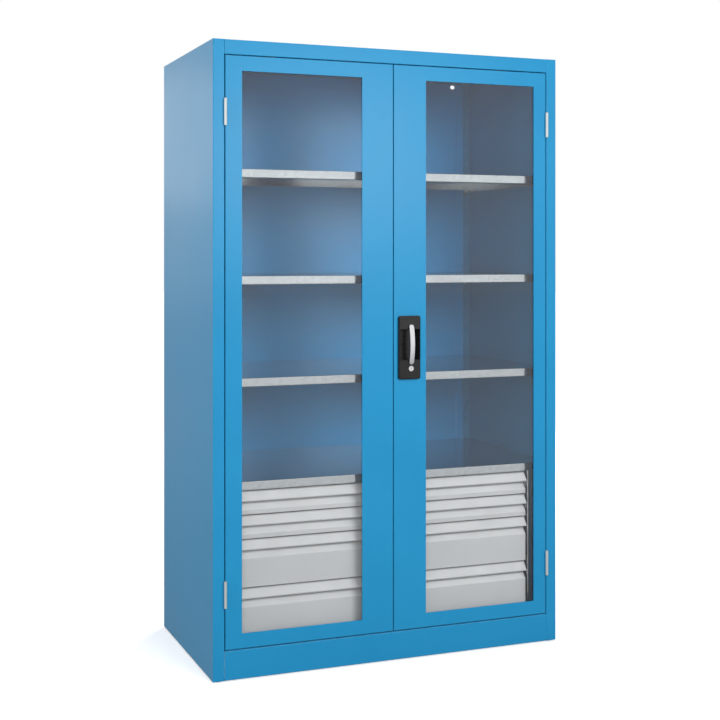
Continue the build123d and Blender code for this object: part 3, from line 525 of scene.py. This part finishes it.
def dress_frame(frame, finishes):
    """Gives every carried-over piece the finish of its slot, or its own one."""
    own_finish = {
        "back_panel": "back_paint_lightened",
        "hinge_frame_halves": "hinge_steel",
        "right_door_hinges": "hinge_steel",
        "left_door_hinges": "hinge_steel",
    }
    for name, piece in frame["nodes"].items():
        for place in piece.material_slots:
            place.material = finishes[own_finish.get(name, place.material.name)]


# Pieces


def add_piece(name, mesh, finishes, finish, body, crease):
    """Makes an object of a finished bmesh and lets it ride on its body."""
    bmesh.ops.recalc_face_normals(mesh, faces=mesh.faces)
    data = bpy.data.meshes.new(name)
    mesh.to_mesh(data)
    mesh.free()
    data.materials.append(finishes[finish])
    piece = bpy.data.objects.new(name, data)
    bpy.context.scene.collection.objects.link(piece)
    data.shade_smooth()
    data.set_sharp_from_angle(angle=math.radians(crease))
    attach(piece, body)
    return piece


def join_rings(mesh, rings):
    """Skins a run of rings that have the same number of points, and closes its ends."""
    count = len(rings[0])
    for lower, upper in zip(rings, rings[1:]):
        for i in range(count):
            j = (i + 1) % count
            mesh.faces.new((lower[i], lower[j], upper[j], upper[i]))
    mesh.faces.new(rings[0])
    mesh.faces.new(rings[-1])


def add_screw(mesh, centre, facing):
    """Adds a low-headed screw with a socket, turned about the way it faces."""
    across = facing.orthogonal().normalized()
    up = facing.cross(across)
    rings = []
    for radius, height in SCREW_RINGS:
        middle = centre + facing * height
        ring = []
        for i in range(SCREW_SIDES):
            turn = 2 * math.pi * i / SCREW_SIDES
            spoke = across * math.cos(turn) + up * math.sin(turn)
            ring.append(mesh.verts.new(middle + radius * spoke))
        rings.append(ring)
    join_rings(mesh, rings)


def cover_screws(finishes):
    """The screws that hold the two inner covers to the doors' folded edges."""
    for side, inward in (("right", 1), ("left", -1)):
        low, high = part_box(f"{side}_door_inner_cover")
        x = (low.x if side == "right" else high.x) + inward * SCREW_FROM_EDGE
        count = round((high.z - low.z) / SCREW_PITCH)
        step = (high.z - low.z - 2 * SCREW_FROM_END) / count
        mesh = bmesh.new()
        for i in range(count + 1):
            z = low.z + SCREW_FROM_END + step * i
            add_screw(mesh, Vector((x, high.y, z)), Vector((0, 1, 0)))
        name = f"{side}_cover_screws"
        add_piece(name, mesh, finishes, "plain_steel", f"{side}_door", SCREW_CREASE)


def quarter_round(share):
    """The height of a quarter circle at a share of its width, and full height past it."""
    return math.sqrt(1 - (1 - min(share, 1.0)) ** 2)


def signed_power(value, power):
    """A power that keeps the sign."""
    return math.copysign(abs(value) ** power, value)


def bow_depths(z, half_length, rise):
    """How far the bow's outer and inner faces stand off the plate, at z from its middle."""
    from_end = half_length - abs(z)
    arch = 1 - (z / half_length) ** 2
    outer = BOW_END_RISE + (rise - BOW_END_RISE) * arch
    outer *= quarter_round(from_end / BOW_END_ROUND)
    opened = min(max((from_end - BOW_FOOT / 2) / BOW_FOOT, 0.0), 1.0)
    opened = opened * opened * (3 - 2 * opened)
    span = max(1 - (z / (half_length - BOW_FOOT)) ** 2, 0.0)
    inner = (BOW_STAND + (rise - BOW_THICKNESS - BOW_STAND) * span) * opened
    return outer, min(inner, outer * BOW_INNER_SHARE)


def bow_bar(finishes):
    """The bow: an arched oval bar whose round ends lie on the plate."""
    low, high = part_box("bow_handle")
    x, middle_z, seat = (low.x + high.x) / 2, (low.z + high.z) / 2, high.y
    half_width, half_length = (high.x - low.x) / 2, (high.z - low.z) / 2
    mesh = bmesh.new()
    rings = []
    for i in range(BOW_RINGS):
        z = -half_length * math.cos(math.pi * (i + 0.5) / BOW_RINGS)
        reach = half_width * quarter_round((half_length - abs(z)) / half_width)
        outer, inner = bow_depths(z, half_length, high.y - low.y)
        ring = []
        for k in range(BOW_SIDES):
            turn = 2 * math.pi * k / BOW_SIDES
            side = signed_power(math.cos(turn), BOW_WIDTH_POWER)
            deep = signed_power(math.sin(turn), BOW_DEPTH_POWER)
            off = (outer + inner) / 2 + deep * (outer - inner) / 2
            ring.append(mesh.verts.new((x + side * reach, seat - off, middle_z + z)))
        rings.append(ring)
    join_rings(mesh, rings)
    bow = add_piece("bow_bar", mesh, finishes, "bow_metal", "right_door", BOW_CREASE)
    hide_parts("bow_handle")


# Floor, room, lamps and camera


def seen_and_mirrored(tree):
    """Two shares of 0 or 1: the camera sees this, past a pane too, or in a mirroring face."""
    path = add_node(tree, "ShaderNodeLightPath")
    clear = math_node(tree, "LESS_THAN", path.outputs["Diffuse Depth"], 0.5)
    plain = math_node(tree, "LESS_THAN", path.outputs["Glossy Depth"], 0.5)
    seen = math_node(tree, "MULTIPLY", clear, plain)
    return seen, math_node(tree, "SUBTRACT", clear, seen)


def floor_material():
    """Pale where seen, greyer where it lights the cabinet, and a painted reflection where
    mirrored: darker near and behind the cabinet, brighter in front.
    """
    material, tree, shader = start_material("floor", grey(FLOOR_SEEN_TONE), specular=0.0)
    shader.inputs["Roughness"].default_value = 0.9
    shader.inputs["Emission Color"].default_value = grey(1.0)
    seen, mirrored = seen_and_mirrored(tree)
    tone = blend_colours(tree, seen, grey(FLOOR_BOUNCE_TONE), grey(FLOOR_SEEN_TONE))
    tone = blend_colours(tree, mirrored, tone, grey(0.0))
    tree.links.new(tone, shader.inputs["Base Color"])
    place = add_node(tree, "ShaderNodeTexCoord").outputs["Object"]
    parts = add_node(tree, "ShaderNodeSeparateXYZ", {"Vector": place})
    distance = add_node(tree, "ShaderNodeVectorMath", {0: place}, operation="LENGTH")
    afar = ramp(tree, distance.outputs["Value"], *FLOOR_AFAR)
    frontward = ramp(tree, parts.outputs["Y"], *FLOOR_FRONTWARD)
    # Painted reflection: the mirrored floor glows less near the cabinet and behind it, more in
    # front
    rear = varied(tree, afar, FLOOR_MIRROR_GLOW_NEAR, FLOOR_MIRROR_GLOW_REAR)
    gain = math_node(tree, "SUBTRACT", FLOOR_MIRROR_GLOW_FRONT, rear)
    gloss = math_node(tree, "MULTIPLY_ADD", frontward, gain, rear)
    lift = math_node(tree, "MULTIPLY", seen, varied(tree, afar, FLOOR_LIFT, 1.0))
    shine = math_node(tree, "MULTIPLY_ADD", mirrored, gloss, lift)
    tree.links.new(shine, shader.inputs["Emission Strength"])
    return material


def build_floor():
    """A pale floor that shows the cabinet's shadow and lights its foot softly."""
    mesh = bmesh.new()
    bmesh.ops.create_circle(mesh, cap_ends=True, radius=FLOOR_RADIUS, segments=FLOOR_SIDES)
    data = bpy.data.meshes.new("floor")
    mesh.to_mesh(data)
    mesh.free()
    data.materials.append(floor_material())
    floor = bpy.data.objects.new("floor", data)
    floor.location.z = -FLOOR_DROP
    bpy.context.scene.collection.objects.link(floor)


def light_room():
    """An even glow for the surfaces, and a white room where the camera and mirrors look."""
    world = bpy.data.worlds.new("room")
    bpy.context.scene.world = world
    world.use_nodes = True
    tree = world.node_tree
    tree.nodes.clear()
    path = add_node(tree, "ShaderNodeLightPath")
    looked_at = math_node(tree, "LESS_THAN", path.outputs["Diffuse Depth"], 0.5)
    behind_pane = math_node(tree, "GREATER_THAN", path.outputs["Transmission Depth"], 0.5)
    glow = varied(tree, behind_pane, ROOM_GLOW, PANE_GLOW)
    strength = math_node(tree, "MAXIMUM", looked_at, glow)
    inputs = {"Color": grey(1.0), "Strength": strength}
    room = add_node(tree, "ShaderNodeBackground", inputs)
    add_node(tree, "ShaderNodeOutputWorld", {"Surface": room.outputs["Background"]})


def add_lamp(name, place, target, width, height, watts):
    """A soft rectangular lamp that faces its target."""
    lamp = bpy.data.lights.new(name, "AREA")
    lamp.shape = "RECTANGLE"
    lamp.size = width
    lamp.size_y = height
    lamp.energy = watts
    piece = bpy.data.objects.new(name, lamp)
    piece.location = place
    facing = Vector(target) - Vector(place)
    piece.rotation_euler = facing.to_track_quat("-Z", "Y").to_euler()
    piece.visible_transmission = False
    bpy.context.scene.collection.objects.link(piece)
    return piece


def left_out_of_shine(finishes):
    """The pieces that would mirror a shine lamp whole, which these lamps leave out."""
    mirroring = [finishes[name] for name in MIRRORING]
    left_out = bpy.data.collections.new("left_out_of_shine")
    for piece in bpy.context.scene.objects:
        if any(place.material in mirroring for place in piece.material_slots):
            left_out.objects.link(piece)
    for member in left_out.collection_objects:
        member.light_linking.link_state = "EXCLUDE"
    return left_out


def light_cabinet(finishes):
    """The soft lamps, which nothing mirrors, and the shine lamps, seen only as highlights."""
    for row in SOFT_LAMPS:
        add_lamp(*row).visible_glossy = False
    left_out = left_out_of_shine(finishes)
    for row in SHINE_LAMPS:
        lamp = add_lamp(*row)
        lamp.visible_diffuse = False
        lamp.light_linking.receiver_collection = left_out


def add_camera():
    """The photograph's camera: level, with the frame shifted down from the horizon."""
    camera = bpy.data.cameras.new("camera")
    camera.sensor_width = SENSOR_WIDTH
    camera.lens = FOCAL_PIXELS / FRAME_PIXELS * SENSOR_WIDTH
    camera.shift_y = -(FRAME_PIXELS / 2 - HORIZON_ROW) / FRAME_PIXELS
    piece = bpy.data.objects.new("camera", camera)
    piece.location = CAMERA_PLACE
    piece.rotation_euler = Vector(CAMERA_FACING).to_track_quat("-Z", "Y").to_euler()
    bpy.context.scene.collection.objects.link(piece)
    bpy.context.scene.camera = piece


# Assembly

for stray in list(bpy.data.objects):
    bpy.data.objects.remove(stray)

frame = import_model()

EFFECTS = {
    "edge_wear": make_edge_wear(),
    "fine_texture": make_fine_texture(),
    "dust_and_top_light": make_dust_and_top_light(),
    "crease_shade": make_crease_shade(),
    "zinc_spangle": make_zinc_spangle(),
    "rolled_lines": make_rolled_lines(),
    "spot_welds": make_spot_welds(),
}

finishes = make_finishes()
dress_frame(frame, finishes)
bow_bar(finishes)
cover_screws(finishes)

add_camera()
build_floor()
light_room()
light_cabinet(finishes)

bpy.context.scene.view_settings.view_transform = "Standard"
